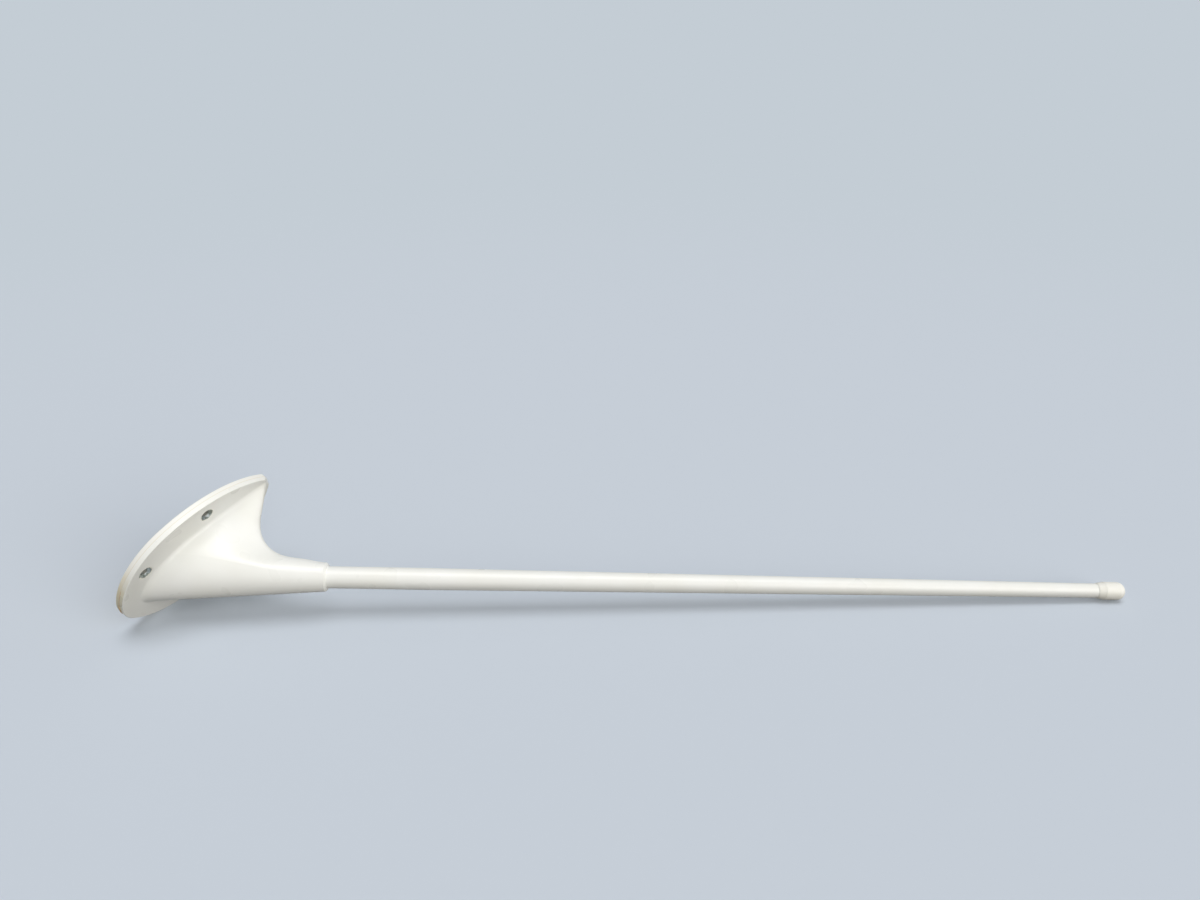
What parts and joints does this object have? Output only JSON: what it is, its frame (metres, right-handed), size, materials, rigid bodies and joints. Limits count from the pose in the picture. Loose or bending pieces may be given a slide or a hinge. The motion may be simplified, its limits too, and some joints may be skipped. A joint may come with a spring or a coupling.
{
  "type": "aircraft radio antenna",
  "caption": "Raked whip antenna: teardrop bolt-down base, fin-shaped moulded fairing, tapered glass-fibre mast with a rounded tip cap, and a coaxial connector beneath.",
  "frame": {"origin": "centre of the bolt pattern in the mounting face", "axes": "+Z out of the aircraft's skin, +X aft, the way the mast leans; X and Z span the plane of symmetry"},
  "size_m": [0.4006, 0.0774, 0.4733],
  "materials": {
    "cream_fairing_paint": "cream-white gloss polyurethane paint over a moulding",
    "cream_mast_paint": "cream-white gloss paint over a glass-fibre tube",
    "cream_cap": "satin moulded cap",
    "conversion_coated_aluminium": "gold chemical conversion coat",
    "amber_sealant": "cured sealant, matt",
    "black_nitrile": "matt",
    "stainless_sleeve": "turned",
    "stainless_screw": "rolled and passivated",
    "nickel_plate": "bright nickel on brass",
    "gold_plate": "gold on brass",
    "white_ptfe": "turned, waxy",
    "bare_brass": "turned",
    "tinned_tag": "tinned",
    "glass_epoxy_board": "solder mask",
    "enamelled_copper": "enamelled wire",
    "black_former": "moulded",
    "ceramic_block": "dipped ceramic",
    "radiator_copper": "drawn rod"
  },
  "bodies": {
    "root": {"base_plate": "conversion_coated_aluminium", "joint_seal": "amber_sealant", "skin_seal_ring": "black_nitrile", "fairing": "cream_fairing_paint", "mounting_sleeves": "stainless_sleeve", "base_screws": "stainless_screw", "fairing_inserts": "bare_brass", "mast_tube": "cream_mast_paint", "radiator_rod": "radiator_copper", "mast_ferrule": "bare_brass", "tip_cap": "cream_cap", "connector_body": "nickel_plate", "connector_insulator": "white_ptfe", "connector_contact": "gold_plate", "connector_gasket": "black_nitrile", "lock_washer": "tinned_tag", "ground_tag": "tinned_tag", "connector_nut": "nickel_plate", "circuit_board": "glass_epoxy_board", "board_pillars": "bare_brass", "board_screws": "stainless_screw", "coil_former": "black_former", "coil_winding": "enamelled_copper", "tuning_capacitors": "ceramic_block", "feed_lead": "enamelled_copper"}
  },
  "joints": []
}
